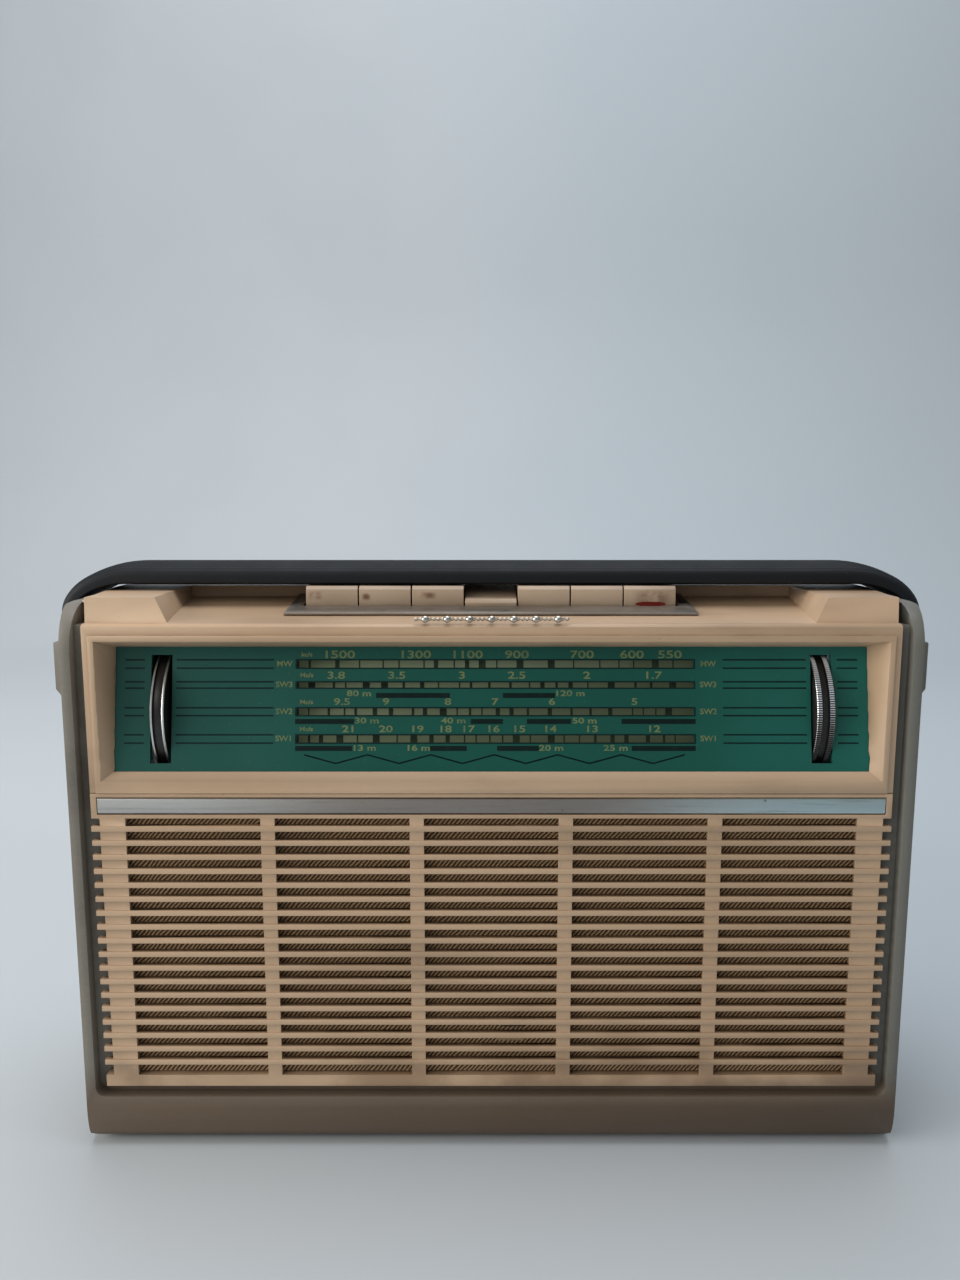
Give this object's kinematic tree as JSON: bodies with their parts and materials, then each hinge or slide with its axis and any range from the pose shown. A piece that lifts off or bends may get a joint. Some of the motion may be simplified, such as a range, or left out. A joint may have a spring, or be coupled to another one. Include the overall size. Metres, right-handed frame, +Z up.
{
  "type": "portable transistor radio",
  "caption": "Portable radio with slatted grille, green dial glass, thumbwheels, piano keys and a carrying strap.",
  "frame": {"origin": "middle of the footprint, on the surface the feet stand on", "axes": "+Z up, the dial and grille face -Y, +X to the right of someone facing the dial"},
  "size_m": [0.341, 0.092, 0.2248],
  "materials": {
    "shell": "fine-grained moulded grey plastic, satin",
    "beige": "aged beige moulded plastic, soft satin",
    "brushed": "brushed along its length",
    "chrome": "bright, slightly dulled",
    "cloth": "diagonal twill with golden threads",
    "hardboard": "raw hardboard",
    "dial_glass": "printed dark green behind clear glass",
    "dial_backing": "pale card",
    "black": "satin black",
    "wheel_black": "black with milled silver bands",
    "steel": "plated",
    "aluminium": "satin",
    "cone_paper": "pressed paper",
    "circuit_board": "phenolic board",
    "ferrite": "ground ferrite",
    "cell_jacket": "plain printed jacket",
    "strap": "black ribbed strap, slightly worn",
    "rubber": "matt"
  },
  "bodies": {
    "case": {"case_shell": "shell", "top_bezel": "beige", "speaker_grille": "beige", "trim_bar": "brushed", "grille_cloth": "cloth", "baffle_board": "hardboard", "dial_glass": "dial_glass", "dial_plate": "dial_backing", "key_plate": "brushed", "badge_bar": "chrome", "speaker_basket": "steel", "speaker_magnet": "steel", "chassis_board": "circuit_board", "coil_can_1": "aluminium", "coil_can_2": "aluminium", "audio_transformer": "steel", "ferrite_rod": "ferrite", "ferrite_coil": "circuit_board", "rod_bracket_left": "black", "rod_bracket_right": "black", "capacitor_frame": "steel", "capacitor_plates": "aluminium", "volume_pot": "steel", "battery_holder": "black", "battery_contact_left": "steel", "battery_contact_right": "steel", "key_switch": "black", "key_rod": "steel", "wheel_bracket_left": "steel", "wheel_bracket_right": "steel", "pointer_rail": "steel", "handle_guide_left": "shell", "handle_guide_right": "shell", "foot_1": "rubber", "foot_2": "rubber", "foot_3": "rubber", "foot_4": "rubber", "battery_cell_1": "cell_jacket", "battery_cell_2": "cell_jacket", "battery_cell_3": "cell_jacket", "battery_cell_4": "cell_jacket", "battery_cell_5": "cell_jacket", "battery_cell_6": "cell_jacket"},
    "tuning": {"tuning_wheel": "wheel_black", "drive_drum": "black"},
    "volume": {"volume_wheel": "wheel_black"},
    "pointer": {"dial_pointer": "black"},
    "capacitor": {"capacitor_rotor": "aluminium"},
    "handle": {"handle_strap": "strap"},
    "cover": {"back_cover": "shell", "cover_screw_left": "steel", "cover_screw_right": "steel"},
    "cone": {"speaker_cone": "cone_paper"},
    "key_1_body": {"key_1": "beige"},
    "key_2_body": {"key_2": "beige"},
    "key_3_body": {"key_3": "beige"},
    "key_4_body": {"key_4": "beige"},
    "key_5_body": {"key_5": "beige"},
    "key_6_body": {"key_6": "beige"},
    "key_7_body": {"key_7": "beige"}
  },
  "joints": [
    {"name": "key_1_press", "type": "hinge", "parent": "case", "child": "key_1_body", "pos_m": [0, 0.014, 0.2085], "axis": [1, 0, 0], "range_deg": [0, 9.5], "stiffness_Nm_per_rad": 0.05, "springref_deg": -20.05},
    {"name": "key_2_press", "type": "hinge", "parent": "case", "child": "key_2_body", "pos_m": [0, 0.014, 0.2085], "axis": [1, 0, 0], "range_deg": [0, 9.5], "stiffness_Nm_per_rad": 0.05, "springref_deg": -20.05},
    {"name": "key_3_press", "type": "hinge", "parent": "case", "child": "key_3_body", "pos_m": [0, 0.014, 0.2085], "axis": [1, 0, 0], "range_deg": [0, 9.5], "stiffness_Nm_per_rad": 0.05, "springref_deg": -20.05},
    {"name": "key_4_press", "type": "hinge", "parent": "case", "child": "key_4_body", "pos_m": [0, 0.014, 0.2085], "axis": [1, 0, 0], "range_deg": [-9.5, 0]},
    {"name": "key_5_press", "type": "hinge", "parent": "case", "child": "key_5_body", "pos_m": [0, 0.014, 0.2085], "axis": [1, 0, 0], "range_deg": [0, 9.5], "stiffness_Nm_per_rad": 0.05, "springref_deg": -20.05},
    {"name": "key_6_press", "type": "hinge", "parent": "case", "child": "key_6_body", "pos_m": [0, 0.014, 0.2085], "axis": [1, 0, 0], "range_deg": [0, 9.5], "stiffness_Nm_per_rad": 0.05, "springref_deg": -20.05},
    {"name": "key_7_press", "type": "hinge", "parent": "case", "child": "key_7_body", "pos_m": [0, 0.014, 0.2085], "axis": [1, 0, 0], "range_deg": [0, 9.5], "stiffness_Nm_per_rad": 0.05, "springref_deg": -20.05},
    {"name": "tuning_turn", "type": "hinge", "parent": "case", "child": "tuning", "pos_m": [0.1225, -0.01849, 0.16827], "axis": [1, 0, 0], "range_deg": [0, 540]},
    {"name": "volume_turn", "type": "hinge", "parent": "case", "child": "volume", "pos_m": [-0.1225, -0.01849, 0.16827], "axis": [1, 0, 0], "range_deg": [0, 290]},
    {"name": "pointer_slide", "type": "slide", "parent": "case", "child": "pointer", "axis": [1, 0, 0], "range_m": [0, 0.146]},
    {"name": "capacitor_turn", "type": "hinge", "parent": "case", "child": "capacitor", "pos_m": [0, 0.029, 0.1621], "axis": [1, 0, 0], "range_deg": [0, 180]},
    {"name": "handle_lift", "type": "slide", "parent": "case", "child": "handle", "axis": [0, 0, 1], "range_m": [0, 0.012]},
    {"name": "cover_swing", "type": "hinge", "parent": "case", "child": "cover", "pos_m": [0, 0.0425, 0.0076], "axis": [-1, 0, 0], "range_deg": [0, 75]},
    {"name": "cone_travel", "type": "slide", "parent": "case", "child": "cone", "axis": [0, -1, 0], "range_m": [-0.001, 0.001], "stiffness_N_per_m": 1500}
  ],
  "couplings": [
    {"joint": "pointer_slide", "follows": "tuning_turn", "m_per_rad": 0.015491},
    {"joint": "capacitor_turn", "follows": "tuning_turn", "ratio": 0.33333}
  ]
}
